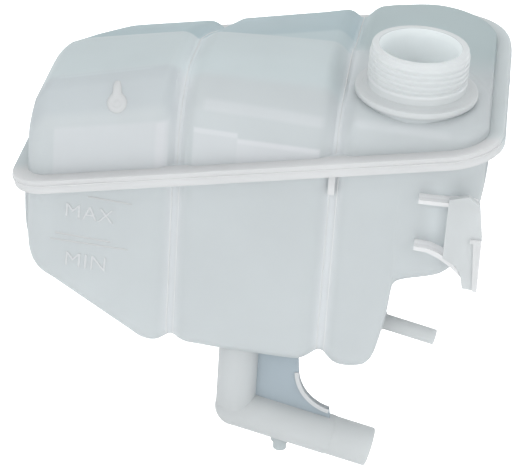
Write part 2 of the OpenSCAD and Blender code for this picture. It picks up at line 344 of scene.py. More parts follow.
class PatchWiring(Wiring):
    """Wiring that can tint stretches of the part by their place."""

    def __init__(self, owner: bpy.types.Material) -> None:
        """Empties the tree and adds the place.

        Args:
            owner: Material to wire.
        """
        super().__init__(owner)
        self.place = self.add("TexCoord").outputs["Object"]

    def ramp(self, value: bpy.types.NodeSocket, start: float, end: float) -> bpy.types.NodeSocket:
        """Turns a value into a soft step from 0 to 1.

        Args:
            value: Value in metres.
            start: Where the step begins, in millimetres.
            end: Where the step ends, in millimetres.

        Returns:
            The step's socket.
        """
        rises = start < end
        node = self.add("MapRange", From_Min=min(start, end) * MM, From_Max=max(start, end) * MM)
        node.interpolation_type = "SMOOTHSTEP"
        node.inputs["To Min"].default_value = 0.0 if rises else 1.0
        node.inputs["To Max"].default_value = 1.0 if rises else 0.0
        self.link(value, node.inputs["Value"])
        return node.outputs["Result"]

    def mask(self, limits: Sequence[Limit]) -> bpy.types.NodeSocket:
        """Multiplies the soft slabs of a patch.

        Args:
            limits: The patch's slabs.

        Returns:
            A socket that is 1 inside all of them.
        """
        found = []
        for limit in limits:
            dot = self.add("VectorMath")
            dot.operation = "DOT_PRODUCT"
            dot.inputs[1].default_value = limit.along
            self.link(self.place, dot.inputs[0])
            half = limit.blur / 2
            if limit.low > -FAR:
                found.append(self.ramp(dot.outputs["Value"], limit.low - half, limit.low + half))
            if limit.high < FAR:
                found.append(self.ramp(dot.outputs["Value"], limit.high + half, limit.high - half))
        total = found[0]
        for other in found[1:]:
            total = self.math("MULTIPLY", total, other)
        return total

    def tint(self, colour: bpy.types.NodeSocket, patch: Patch) -> bpy.types.NodeSocket:
        """Tints a colour inside a patch.

        Args:
            colour: Colour so far.
            patch: The patch.

        Returns:
            The tinted colour's socket.
        """
        node = self.add("Mix")
        node.data_type = "RGBA"
        node.blend_type = "MULTIPLY"
        self.link(self.mask(patch.limits), node.inputs[0])
        self.link(colour, node.inputs[6])
        node.inputs[7].default_value = (*patch.tint, 1.0)
        return node.outputs[2]


@dataclass(frozen=True)
class Finish:
    """Moulded plastic that lets a little light through."""

    name: str
    colour: tuple[float, float, float]
    roughness: float = 0.42
    translucent: float = 0.5
    ior: float = 1.49
    mottle: float = 0.965
    cloud: float = 22.0
    grain: float = 900.0
    relief: float = 0.02
    patches: tuple[Patch, ...] = ()

    def build(self) -> bpy.types.Material:
        """Makes the material.

        Returns:
            A node material with a faint mottle, a fine grain and its patches.
        """
        material = bpy.data.materials.new(self.name)
        wiring = PatchWiring(material)
        body = wiring.add("BsdfPrincipled", Roughness=self.roughness, IOR=self.ior)
        glow = wiring.add("BsdfTranslucent")
        mottle = wiring.add("TexNoise", Scale=self.cloud, Detail=3.0)
        ramp = wiring.add("ValToRGB")
        ramp.color_ramp.elements[0].position = 0.3
        ramp.color_ramp.elements[0].color = (*(c * self.mottle for c in self.colour), 1.0)
        ramp.color_ramp.elements[1].position = 0.7
        ramp.color_ramp.elements[1].color = (*self.colour, 1.0)
        grain = wiring.add("TexNoise", Scale=self.grain)
        bump = wiring.add("Bump", Strength=self.relief, Distance=MM)
        wiring.link(wiring.place, mottle.inputs["Vector"])
        wiring.link(wiring.place, grain.inputs["Vector"])
        wiring.link(mottle.outputs["Fac"], ramp.inputs["Fac"])
        wiring.link(grain.outputs["Fac"], bump.inputs["Height"])
        colour = ramp.outputs["Color"]
        for patch in self.patches:
            colour = wiring.tint(colour, patch)
        wiring.link(colour, body.inputs["Base Color"])
        wiring.link(colour, glow.inputs["Color"])
        wiring.link(bump.outputs["Normal"], body.inputs["Normal"])
        mix = wiring.blend(body.outputs["BSDF"], glow.outputs["BSDF"])
        mix.inputs["Fac"].default_value = self.translucent
        wiring.link(mix.outputs["Shader"], wiring.add("OutputMaterial").inputs["Surface"])
        return material


Tint = tuple[float, float, float]
ALONG_X: Point = (1.0, 0.0, 0.0)
ALONG_Y: Point = (0.0, 1.0, 0.0)
ALONG_Z: Point = (0.0, 0.0, 1.0)
OVER_WELD: Point = (-0.1944, 0.0, 1.0)
LEFT_GROOVE: Point = (1.0, -0.0225, 0.0)
FRONT = Limit(ALONG_Y, high=-29.5, blur=3.0)


def grey(share: float, warmth: float = 0.0) -> Tint:
    """Tint that lightens or darkens.

    Args:
        share: Brightness against the plain moulding.
        warmth: Extra red, with a quarter of it in blue.

    Returns:
        Red, green and blue factors.
    """
    return share + warmth, share, share + warmth / 4


# Painted shade: the back slopes behind the crests and the deck behind the neck are painted darker and bluer,
# as they face away from the light. The first patch gives the tops a greener tone.
MID_BACK_SHADE_ZONE = (Limit(ALONG_Y, low=35.0, blur=4.0), Limit(ALONG_X, low=-117.0, high=-37.0, blur=5.0))
SHADE_BEHIND_CREST = (
    Patch((0.98, 1.02, 1.02), (Limit(ALONG_X, high=-38.0, blur=6.0), Limit(ALONG_Y, low=-13.0, blur=8.0))),
    Patch(
        (0.70, 0.80, 0.83),
        (Limit((0.165, 1.0, 0.0), low=11.0, blur=4.0), Limit(ALONG_X, high=-117.0, blur=6.0)),
    ),
    Patch((0.87, 0.925, 0.94), MID_BACK_SHADE_ZONE),
    Patch((0.84, 0.89, 0.91), (Limit((-0.81, 1.0, 0.0), low=103.4, blur=9.0), *MID_BACK_SHADE_ZONE)),
    Patch((0.79, 0.87, 0.87), (Limit(ALONG_X, low=-37.0, blur=5.0), Limit(ALONG_Y, low=52.0, blur=44.0))),
)
# Painted light: the mid chamber's front wall panels are painted lighter and warmer, with painted highlights
# along their top edges and along the fold at the foot of the sloping face.
RIGHT_LIT_TOP = Limit((0.021, 0.0, 1.0), high=-50.35, blur=1.8)
LEFT_LIT_TOP = Limit((0.03, 0.0, 1.0), high=-48.2, blur=1.6)
MID_RIGHT = Limit(ALONG_X, low=-88.0, high=-45.0, blur=1.6)
MID_LEFT = Limit(ALONG_X, low=-111.0, high=-88.0, blur=1.6)
MID_PANEL_HIGHLIGHTS = (
    Patch(grey(1.09, 0.03), (FRONT, MID_RIGHT, RIGHT_LIT_TOP)),
    Patch(grey(1.05, 0.01), (MID_RIGHT, Limit((0.021, 0.0, 1.0), low=-52.9, high=-50.35, blur=1.8))),
    Patch(grey(1.06, 0.02), (FRONT, MID_LEFT, LEFT_LIT_TOP)),
    Patch(grey(1.06, 0.01), (MID_LEFT, Limit((0.03, 0.0, 1.0), low=-50.8, high=-48.2, blur=1.6))),
    Patch(
        grey(1.07, 0.015),
        (
            Limit(ALONG_X, low=-107.0, high=-44.5, blur=4.0),
            Limit(ALONG_Y, high=-19.0, blur=2.0),
            Limit((0.0464, 0.0, 1.0), low=-40.9, high=-36.2, blur=2.6),
        ),
    ),
)
# Painted shade on the sloping faces of the left and mid chambers. Painted light on the left chamber's front
# wall, with a painted highlight in a strip at x -130 to -125 and another along the fold at the head of the
# sloping face.
LEFT_PANEL_LIGHT_AND_SHADE = (
    Patch(
        (0.93, 0.94, 0.95),
        (Limit(ALONG_X, high=-122.0, blur=5.0), Limit(ALONG_Y, low=-29.5, high=-13.0, blur=4.0)),
    ),
    Patch(
        (0.975, 0.975, 0.975),
        (Limit(ALONG_X, low=-114.0, high=-40.0, blur=5.0), Limit(ALONG_Y, low=-29.5, high=-13.0, blur=4.0)),
    ),
    Patch(
        grey(1.05, 0.02),
        (FRONT, Limit(ALONG_X, low=-184.0, high=-124.0, blur=2.0), Limit(OVER_WELD, high=-19.0, blur=3.0)),
    ),
    Patch(
        grey(1.05, 0.02),
        (FRONT, Limit(ALONG_X, low=-130.4, high=-125.4, blur=3.2), Limit(OVER_WELD, high=-19.0, blur=3.0)),
    ),
    Patch(
        grey(1.04),
        (Limit(ALONG_X, low=-186.0, high=-137.0, blur=4.0), Limit(ALONG_Y, low=-14.8, high=-13.4, blur=0.9)),
    ),
)
# Painted highlight: a band along the right chamber's front wall, under the roof's bend.
RIGHT_PANEL_HIGHLIGHT = (
    Patch(
        grey(1.045, 0.01),
        (
            Limit(ALONG_X, low=-28.0, high=20.0, blur=6.0),
            Limit(ALONG_Y, high=-26.0, blur=3.0),
            Limit((0.03, 0.0, 1.0), low=-35.4, high=-31.8, blur=2.4),
        ),
    ),
)
# Painted highlights: lighter bands along both grooves, on the roof and on the walls.
GROOVE_HIGHLIGHTS = (
    Patch(grey(1.14, 0.02), (Limit(LEFT_GROOVE, low=-122.6, high=-114.4, blur=6.0),)),
    Patch(grey(1.18, 0.02), (Limit(ALONG_X, low=-40.4, high=-32.8, blur=6.0),)),
)
# Painted light: lifts the shade on the wall between the bracket's arms and on the front wall just under the
# flange.
PAINTED_LIGHT_UNDER_FLANGE = (
    Patch(
        grey(1.2),
        (
            Limit(ALONG_X, low=14.0, high=28.0, blur=9.0),
            Limit(ALONG_Z, low=-104.0, high=-62.0, blur=12.0),
            Limit(ALONG_Y, high=-10.0, blur=6.0),
        ),
    ),
    Patch(grey(1.16), (Limit(OVER_WELD, low=-58.0, blur=13.0), Limit(ALONG_Y, high=-20.0, blur=3.0))),
)
# Painted highlight on the bead at the foot of the thread. Below the collar foot the neck is toned to about the
# roof's colour.
NECK = (
    Patch(grey(1.07, 0.01), (Limit(ALONG_Z, low=-19.0, high=-17.2, blur=0.8),)),
    Patch((0.93, 0.95, 0.96), (Limit(ALONG_Z, high=-27.7, blur=0.7),)),
)
# Painted shade: the flange's left and right ends are painted darker and bluer.
FLANGE = (
    Patch((0.87, 0.93, 0.94), (Limit(ALONG_X, high=-198.0, blur=9.0), Limit(ALONG_Y, low=-24.0, blur=12.0))),
    Patch((0.93, 0.98, 0.985), (Limit(ALONG_X, low=30.0, blur=14.0), Limit(ALONG_Y, low=-24.0, blur=8.0))),
)
# Painted light on the back part of the bracket's arms, next to the wall.
ARM_BACK_LIGHT = (Patch(grey(1.1), (Limit(ALONG_Y, low=-38.5, blur=1.5),)),)
ROOF_PATCHES = SHADE_BEHIND_CREST + MID_PANEL_HIGHLIGHTS + LEFT_PANEL_LIGHT_AND_SHADE + RIGHT_PANEL_HIGHLIGHT + GROOVE_HIGHLIGHTS
BODY = (0.612, 0.640, 0.652)


@dataclass
class Palette:
    """Finishes of the tank, built once."""

    roof: Finish = Finish("tank_roof", BODY, patches=ROOF_PATCHES)
    wall: Finish = Finish("tank_wall", BODY, patches=GROOVE_HIGHLIGHTS + PAINTED_LIGHT_UNDER_FLANGE)
    pipe: Finish = Finish("tank_pipe", (0.632, 0.652, 0.658))
    # Painted shade: the pin is a darker copy of the pipe's colour.
    pin: Finish = Finish("tank_pin_painted_shade", (0.51, 0.55, 0.56))
    # Painted light: the inner faces are painted lighter than the outer ones.
    inside: Finish = Finish("tank_inside_painted_light", (0.80, 0.825, 0.825), translucent=0.65)
    # Painted light: the neck's bore is painted lighter to offset its shade.
    lit_bore: Finish = Finish("tank_bore_painted_light", (0.93, 0.97, 0.975), translucent=0.6)
    arm: Finish = Finish("tank_arm", (0.74, 0.742, 0.748), patches=ARM_BACK_LIGHT)
    # Painted shade: the web is painted darker than the moulding.
    thin: Finish = Finish("tank_web_painted_shade", (0.43, 0.49, 0.53))
    edge: Finish = Finish("tank_edge", (0.735, 0.74, 0.745), patches=FLANGE)
    neck: Finish = Finish("tank_neck", (0.665, 0.68, 0.685), patches=NECK)
    bead: Finish = Finish("tank_bead", (0.69, 0.70, 0.705), translucent=0.3)
    boss: Finish = Finish("tank_boss", (0.575, 0.585, 0.59), translucent=0.35)
    mark: Finish = Finish("tank_mark", (0.50, 0.515, 0.525), translucent=0.2)
    made: dict[str, bpy.types.Material] = field(default_factory=dict)

    def get(self, finish: Finish) -> bpy.types.Material:
        """Gives a finish's material.

        Args:
            finish: One of the palette's finishes.

        Returns:
            The material, made on first use.
        """
        if finish.name not in self.made:
            self.made[finish.name] = finish.build()
        return self.made[finish.name]


PALETTE = Palette()


def shifted(point: Point) -> Matrix:
    """Placement without a turn.

    Args:
        point: Where the origin goes.

    Returns:
        The matrix.
    """
    return Matrix.Translation(Vector(point))


def ring_quads(rings: int, size: int) -> list[tuple[int, ...]]:
    """Faces between closed rings of points that follow each other in a loop.

    Args:
        rings: Number of rings.
        size: Points in each ring.

    Returns:
        Four indices a face, ring by ring.
    """
    faces = []
    for k in range(rings):
        j = (k + 1) % rings
        for i in range(size):
            m = (i + 1) % size
            faces.append((k * size + i, j * size + i, j * size + m, k * size + m))
    return faces


@dataclass
class MeshBuilder:
    """Gathers points and faces in millimetres, then makes one object."""

    name: str
    points: list[Point] = field(default_factory=list)
    faces: list[tuple[int, ...]] = field(default_factory=list)
    finishes: list[Finish] = field(default_factory=list)
    marks: list[int] = field(default_factory=list)

    def use(self, finish: Finish) -> int:
        """Registers a finish.

        Args:
            finish: Finish of the faces to come.

        Returns:
            Its index in the object's slots.
        """
        if finish not in self.finishes:
            self.finishes.append(finish)
        return self.finishes.index(finish)

    def add(self, points: Sequence[Sequence[float]], faces: Sequence[Sequence[int]], finish: Finish) -> None:
        """Adds a lump of faces.

        Args:
            points: Points in millimetres.
            faces: Faces as indices into points.
            finish: Finish of these faces.
        """
        base = len(self.points)
        mark = self.use(finish)
        self.points.extend(tuple(float(c) for c in p) for p in points)
        self.faces.extend(tuple(base + i for i in f) for f in faces)
        self.marks.extend([mark] * len(faces))

    def lathe(
        self,
        profile: Sequence[tuple[float, float]],
        finish: Finish,
        place: Matrix | None = None,
        sides: int = 64,
        swell: Callable[[int, float], float] | None = None,
        bore: float = 0.0,
    ) -> None:
        """Adds a closed profile turned about an axis.

        Args:
            profile: Pairs of radius and height, as a closed loop.
            finish: Finish of the faces.
            place: Where the axis goes, in millimetres.
            sides: Steps round the axis.
            swell: Extra radius for a profile index and an angle.
            bore: Faces nearer to the axis than this get the lighter bore finish, which is painted light.
        """
        place = place or Matrix()
        points = []
        for k in range(sides):
            angle = 2 * math.pi * k / sides
            for i, (r, z) in enumerate(profile):
                extra = swell(i, angle) if swell else 0.0
                at = Vector(((r + extra) * math.cos(angle), (r + extra) * math.sin(angle), z))
                points.append(tuple(place @ at))
        n = len(profile)
        self.add(points, ring_quads(sides, n), finish)
        inner = [i for i in range(n) if max(profile[i][0], profile[(i + 1) % n][0]) < bore]
        if inner:
            lit_bore = self.use(PALETTE.lit_bore)
            for k in range(sides):
                for i in inner:
                    self.marks[(k - sides) * n + i] = lit_bore

    def prism(self, outline: Sequence[tuple[float, float]], low: float, high: float, finish: Finish) -> None:
        """Adds a flat plate that faces front and back.

        Args:
            outline: Pairs of x and z round the plate.
            low: Y of the front face.
            high: Y of the back face.
            finish: Finish of the faces.
        """
        n = len(outline)
        points = [(x, low, z) for x, z in outline] + [(x, high, z) for x, z in outline]
        faces = [tuple(range(n)), tuple(range(2 * n - 1, n - 1, -1))]
        faces += [(i, n + i, n + (i + 1) % n, (i + 1) % n) for i in range(n)]
        self.add(points, faces, finish)

    def make(self, sharp: float = 32.0) -> bpy.types.Object:
        """Makes the object.

        Args:
            sharp: Edges that turn more than this stay sharp, in degrees.

        Returns:
            The new object, linked into the scene.
        """
        mesh = bpy.data.meshes.new(self.name)
        mesh.from_pydata([tuple(c * MM for c in p) for p in self.points], [], self.faces)
        for finish in self.finishes:
            mesh.materials.append(PALETTE.get(finish))
        mesh.polygons.foreach_set("material_index", self.marks)
        bm = bmesh.new()
        bm.from_mesh(mesh)
        bmesh.ops.recalc_face_normals(bm, faces=bm.faces)
        limit = math.radians(sharp)
        for face in bm.faces:
            face.smooth = True
        for edge in bm.edges:
            edge.smooth = edge.calc_face_angle(0.0) < limit
        bm.to_mesh(mesh)
        bm.free()
        obj = bpy.data.objects.new(self.name, mesh)
        bpy.context.scene.collection.objects.link(obj)
        log.info("%s: %d faces", self.name, len(mesh.polygons))
        return obj


def rounded(points: Sequence[Sequence[float]], radii: Sequence[float], steps: int) -> list[np.ndarray]:
    """Rounds the corners of a polyline.

    Args:
        points: Corner points of the polyline.
        radii: Reach of the rounding at each corner.
        steps: Pieces in each rounded corner.

    Returns:
        The points with each rounded corner replaced by a curve.
    """
    out = []
    last = len(points) - 1
    for i, point in enumerate(points):
        b = np.array(point, float)
        if i in (0, last) or radii[i] == 0:
            out.append(b)
            continue
        a = np.array(points[i - 1], float)
        c = np.array(points[i + 1], float)
        to_a = max(0.001, float(np.linalg.norm(a - b)))
        to_c = max(0.001, float(np.linalg.norm(c - b)))
        p = b + (a - b) * min(radii[i], 0.46 * to_a) / to_a
        q = b + (c - b) * min(radii[i], 0.46 * to_c) / to_c
        for k in range(steps + 1):
            u = k / steps
            out.append(p * (1 - u) ** 2 + b * 2 * u * (1 - u) + q * u * u)
    return out


@dataclass
class ShellSkin:
    """A thin shell between an outer and an inner grid of points."""

    outer: np.ndarray
    inner: np.ndarray

    def add_to(
        self,
        builder: MeshBuilder,
        finish: Finish,
        keep: Callable[[np.ndarray], bool],
    ) -> None:
        """Adds the shell's faces.

        Args:
            builder: Where the faces go.
            finish: Finish of the outer face.
            keep: False for a face centre that is left open.
        """
        n, m = self.outer.shape[:2]
        cloud = np.concatenate([self.outer.reshape(-1, 3), self.inner.reshape(-1, 3)])
        base = n * m
        start = len(builder.points)
        builder.points.extend(tuple(p) for p in cloud.tolist())
        faces = []
        for i in range(n - 1):
            for j in range(m - 1):
                quad = (i * m + j, i * m + j + 1, (i + 1) * m + j + 1, (i + 1) * m + j)
                faces.append(quad)
                faces.append(tuple(base + q for q in reversed(quad)))
        loop = [i * m for i in range(n)]
        loop += [(n - 1) * m + j for j in range(1, m)]
        loop += [i * m + m - 1 for i in range(n - 2, -1, -1)]
        loop += list(range(m - 2, 0, -1))
        for q, a in enumerate(loop):
            b = loop[(q + 1) % len(loop)]
            faces.append((a, b, b + base, a + base))
        for face in faces:
            centre = cloud[list(face)].mean(axis=0)
            if not keep(centre):
                continue
            builder.faces.append(tuple(start + v for v in face))
            # Inner faces take the inside finish, which is painted light.
            builder.marks.append(builder.use(PALETTE.inside if min(face) >= base else finish))


def turned(line: Sequence[Sequence[float]], i: int) -> tuple[float, float]:
    """Inward normal of an outline of x and z.

    Args:
        line: Points of the outline.
        i: Which point.

    Returns:
        The unit normal, level at both ends.
    """
    if i == 0:
        return 1.0, 0.0
    if i == len(line) - 1:
        return -1.0, 0.0
    a = np.array(line[i - 1], float)
    b = np.array(line[i + 1], float)
    d = (b - a) / np.linalg.norm(b - a)
    return float(-d[1]), float(d[0])


@dataclass(frozen=True)
class SeamBead:
    """A fine raised line that runs round the section of a shell."""

    x: float
    width: float = 1.2
    proud: float = 0.3
    sunk: float = 0.4

    def add_to(self, builder: MeshBuilder, grid: np.ndarray, finish: Finish) -> None:
        """Adds the bead along one station of a grid.

        Args:
            builder: Where the faces go.
            grid: Points by station and by place round the section.
            finish: Finish of the bead.
        """
        places = grid[:, 1, 0]
        sides = []
        for x in (self.x - self.width / 2, self.x, self.x + self.width / 2):
            k = int(np.clip(np.searchsorted(places, x) - 1, 0, len(places) - 2))
            u = (x - places[k]) / (places[k + 1] - places[k])
            sides.append(grid[k, 1:-1] * (1 - u) + grid[k + 1, 1:-1] * u)
        low, mid, high = sides
        centre = grid.reshape(-1, 3).mean(axis=0)
        points = []
        n = len(mid)
        for j in range(n):
            run = mid[min(j + 1, n - 1)] - mid[max(j - 1, 0)]
            out = np.cross(run, high[j] - low[j])
            out = out / max(1e-6, float(np.linalg.norm(out)))
            if np.dot(out, mid[j] - centre) < 0:
                out = -out
            points += [low[j] - out * self.sunk, mid[j] + out * self.proud, high[j] - out * self.sunk]
        faces = []
        for j in range(n - 1):
            a, b = 3 * j, 3 * j + 3
            faces += [(a, b, b + 1, a + 1), (a + 1, b + 1, b + 2, a + 2), (a + 2, b + 2, b, a)]
        faces += [(0, 1, 2), (3 * n - 1, 3 * n - 2, 3 * n - 3)]
        builder.add(points, faces, finish)


@dataclass(frozen=True)
class FlangeRing:
    """One half of the welded flange, swept round the tank."""

    inner: float = -1.7
    steps: int = 14
    straight: int = 30
    wobble: float = 0.7

    def outline(self, g: float) -> list[tuple[float, float]]:
        """Outline in the weld plane.

        Args:
            g: Distance outward from the wall.

        Returns:
            Pairs of distance along the slope and y.
        """
        s = SIZES
        k = 1 / math.cos(math.radians(s.tilt))
        x0, x1 = s.left * k, s.right * k
        y0, y1 = s.front_wall, s.back_wall
        corners = [
            (x0 + s.corner_fl, y0 + s.corner_fl, s.corner_fl, 180),
            (x1 - s.corner_fr, y0 + s.corner_fr, s.corner_fr, 270),
            (x1 - s.corner_br, y1 - s.corner_br, s.corner_br, 0),
            (x0 + s.corner_bl, y1 - s.corner_bl, s.corner_bl, 90),
        ]
        arcs = []
        for cx, cy, r, start in corners:
            arc = []
            for i in range(self.steps + 1):
                angle = math.radians(start + 90 * i / self.steps)
                arc.append((cx + (r + g) * math.cos(angle), cy + (r + g) * math.sin(angle)))
            arcs.append(arc)
        points = []
        for i, arc in enumerate(arcs):
            points += arc
            a = arc[-1]
            b = arcs[(i + 1) % 4][0]
            for q in range(1, self.straight):
                u = q / self.straight
                points.append((a[0] + (b[0] - a[0]) * u, a[1] + (b[1] - a[1]) * u))
        return points

    @staticmethod
    def place(u: float, y: float, w: float) -> Point:
        """Turns weld plane coordinates into the part's frame.

        Args:
            u: Distance along the slope.
            y: Depth.
            w: Height over the weld plane.

        Returns:
            The point in millimetres.
        """
        a = math.radians(SIZES.tilt)
        x = u * math.cos(a) - w * math.sin(a)
        return x, y, -SIZES.weld_drop + u * math.sin(a) + w * math.cos(a)

    def sweep(
        self,
        builder: MeshBuilder,
        profile: Sequence[tuple[float, float]],
        finish: Finish,
        wobble: float = 0.0,
    ) -> None:
        """Adds a closed profile swept round the outline.

        Args:
            builder: Where the faces go.
            profile: Pairs of outward distance and height, as a closed loop.
            finish: Finish of the faces.
            wobble: Uneven growth of the outward distance.
        """
        rng = np.random.default_rng(7)
        rings = [self.outline(g) for g, _ in profile]
        n = len(rings[0])
        noise = np.convolve(rng.random(n), np.ones(3) / 3, "same") * wobble
        points = []
        for i in range(n):
            for ring, (g, w) in zip(rings, profile):
                u, y = ring[i]
                if wobble and g > SIZES.flange_out - 1:
                    base = rings[0][i]
                    away = max(0.001, math.hypot(u - base[0], y - base[1]))
                    u += (u - base[0]) / away * noise[i]
                    y += (y - base[1]) / away * noise[i]
                points.append(self.place(u, y, w))
        builder.add(points, ring_quads(n, len(profile)), finish)

    def add_half(self, builder: MeshBuilder, side: float, thick: float) -> None:
        """Adds the half of the flange over or under the weld.

        Args:
            builder: Where the faces go.
            side: 1 over the weld, -1 under it.
            thick: Thickness of the half.
        """
        out = SIZES.flange_out
        profile = [(self.inner, 0.1), (out - 0.5, 0.1), (out - 0.1, 0.35), (out, 0.9), (out, thick - 0.9)]
        profile += [(out - 0.3, thick - 0.25), (out - 0.9, thick), (self.inner, thick)]
        self.sweep(builder, [(g, side * w) for g, w in profile], PALETTE.edge)

    def add_flash(self, builder: MeshBuilder) -> None:
        """Adds the uneven flash that the weld pressed out.

        Args:
            builder: Where the faces go.
        """
        out = SIZES.flange_out
        flash = [(self.inner, 0.0), (out - 0.4, -0.45), (out + 0.1, -0.25), (out + 0.1, 0.2), (out - 0.4, 0.4)]
        self.sweep(builder, flash, PALETTE.edge, wobble=self.wobble)


@dataclass
class UpperShell:
    """Roof of the three chambers with the flange's upper half and the neck."""

    name: str = "upper_moulding"
    steps: int = 7
    front_zone: float = 20.0
    back_zone: float = 150.0
    neck_gap: float = 25.5
    lean_reach: float = 44.0

    def end_cap(self, x: float) -> float:
        """Greatest height of the roof near the ends.

        Args:
            x: Place along the tank.

        Returns:
            Height over the weld line.
        """
        left = [(0, 0), (0.1, 14), (0.3, 26), (1.0, 34.5), (2.7, 41), (5.4, 46), (9, 50)]
        left += [(14.5, 53), (19, 54.5)]
        left += [(26, 57), (60, 80)]
        right = [(0, 0), (0.4, 5), (1.2, 8.5), (2.6, 10.8), (5, 12.6), (9, 14.4), (16, 17.5)]
        right += [(30, 30), (60, 80)]
        return min(look_up(x - SIZES.left, left), look_up(SIZES.right - x, right))

    @staticmethod
    def deck(x: float, drop: float) -> float:
        """Height of a level face over the weld line.

        Args:
            x: Place along the tank.
            drop: Depth of the face under the neck rim.

        Returns:
            Height over the weld line.
        """
        return SIZES.weld_drop - drop - SIZES.slope * x

    def roof(self, x: float) -> list[tuple[float, float]]:
        """Control points of the roof.

        Args:
            x: Place along the tank.

        Returns:
            Pairs of distance from the front wall and height over the weld line.
        """
        deck = self.deck
        front = [(-182, 28.5), (-125, 30.2), (-112, 24.7), (-89, 20.6), (-88.2, 19), (-66, 12.9)]
        front += [(-44, 8.6)]
        front += [(-30, deck(-30, 33)), (36, deck(36, 33))]
        low = [(-182, 41), (-125, 43), (-108, 37.1), (-88, 32.3), (-67, 27.4), (-46, 23.8)]
        low += [(-30, deck(-30, 28.4)), (36, deck(36, 28.4))]
        high = [(-186, 50.2), (-125, 53.5), (-108, 51.3), (-76, 45.1), (-46, 39.2)]
        high += [(-30, deck(-30, 28)), (36, deck(36, 28))]
        crest = [(-182, 51.7), (-125, 52.5), (-108, 50.2), (-76, 44.8), (-46, 39.2), (-36, 34)]
        crest += [(-30, deck(-30, 28)), (36, deck(36, 28))]
        foot = [(-197, 33), (-190, 35.5), (-182, 37.8), (-125, 39), (-108, 46), (-76, 38)]
        foot += [(-46, 30.5), (-36, 26)]
        foot += [(-26, deck(-26, 33.5)), (36, deck(36, 33.5))]
        back = [(-190, 9.5), (-170, 12.2), (-120, 11.6), (-60, 12.4), (-20, 14.6), (5, 13.4)]
        back += [(17, 11.8), (29, 9.8), (40, 7.6)]
        low_in = [(-125, 9.5), (-112, 7), (-44, 7), (-30, 9), (36, 9)]
        high_in = [(-125, 18), (-112, 31), (-46, 31), (-30, 34), (36, 34)]
        crest_in = [(-125, 64), (-46, 64), (-34, 79), (-26, 83), (0, 84), (22, 81), (33, 66), (40, 50)]
        foot_in = [(-125, 104), (-108, 76), (-46, 104), (-34, 92), (22, 90), (33, 76), (40, 60)]
        lines = ((low_in, low), (high_in, high), (crest_in, crest), (foot_in, foot))
        points = [(1.4, soft(x, front, 0.8))]
        points += [(soft(x, away), soft(x, height)) for away, height in lines]
        return points + [(SIZES.depth - 5, soft(x, back))]

    def stations(self) -> list[float]:
        """Places of the grid's columns along the tank.

        Returns:
            X values from left to right.
        """
        ends = [0, 0.15, 0.4, 0.8, 1.2, 1.9, 2.6, 3.8, 5, 6.5, 8, 10, 12, 15, 18, 22, 26]
        xs = {round(SIZES.left + d, 3) for d in ends}
        xs |= {round(SIZES.right - d, 3) for d in ends[:-4]}
        xs |= {round(x, 3) for x in np.arange(SIZES.left + 28, SIZES.right - 13, 2.0)}
        for centre in (SIZES.groove_left, SIZES.groove_right):
            xs |= {round(centre + d, 3) for d in np.arange(-11, 11.1, 0.9)}
        return sorted(xs)

    def column(self, x: float, xin: float, t: float, nz: float) -> list[tuple[float, float]]:
        """Section of the roof at one station.

        Args:
            x: Station on the outer face.
            xin: Same station moved inward.
            t: Distance inward from the outer face.
            nz: Upward share of the inward move.

        Returns:
            Pairs of y and height over the weld line.
        """
        f = SIZES.front_y(xin, t)
        b = SIZES.back_y(xin, t)
        g = SIZES.groove(x)
        s = (b - f) / SIZES.depth
        cap = self.end_cap(x)
        lip = min(cap, SIZES.flange_t)
        points = [(f, 0.0), (f + g, lip)]
        for away, height in self.roof(x):
            shift = g if away < self.front_zone else (-g if away > self.back_zone else 0.0)
            y = min(b - 0.6 - g, max(f + g + 0.4, f + away * s + shift))
            points.append((y, max(lip + 0.01, min(cap, height) - g - t * nz)))
        return points + [(b - g, lip), (b, 0.0)]

    def grid(self, t: float) -> np.ndarray:
        """Grid of points of one face of the shell.

        Args:
            t: Distance inward from the outer face.

        Returns:
            Points by station and by place round the section.
        """
        xs = self.stations()
        tops = []
        for x in xs:
            crown = min(self.end_cap(x), max(height for _, height in self.roof(x)))
            tops.append((x, SIZES.groove(x) - crown))
        rows = []
        for i, x in enumerate(xs):
            nx, nz = turned(tops, i)
            xin = x + t * nx
            on_edge = i in (0, len(xs) - 1)
            near = max(0.0, 1 - abs(x - SIZES.groove_left) / self.lean_reach)
            lean = SIZES.groove_lean * near / SIZES.depth
            radii = [0, 0, 6, 9, 12, 5, 12, 6, 0, 0]
            row = []
            for y, h in rounded(self.column(x, xin, t, nz), radii, self.steps):
                at = xin + lean * (y - SIZES.front_wall)
                row.append((at, y, SIZES.weld_z(at) + (0.0 if on_edge else h)))
            rows.append(row)
        return np.array(rows)

    def build(self) -> bpy.types.Object:
        """Makes the upper moulding.

        Returns:
            The finished object.
        """
        builder = MeshBuilder(self.name)
        outer = self.grid(0.0)
        skin = ShellSkin(outer, self.grid(SIZES.wall))
        skin.add_to(builder, PALETTE.roof, lambda c: math.hypot(c[0], c[1]) > self.neck_gap)
        for x in (SIZES.groove_left, SIZES.groove_right):
            SeamBead(x).add_to(builder, outer, PALETTE.bead)
        DropBoss().add_to(builder)
        FlangeRing().add_half(builder, 1.0, SIZES.flange_t)
        ThreadedNeck().add_to(builder)
        obj = builder.make()
        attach(obj, "root")
        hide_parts(*Node.UPPER.value)
        return obj


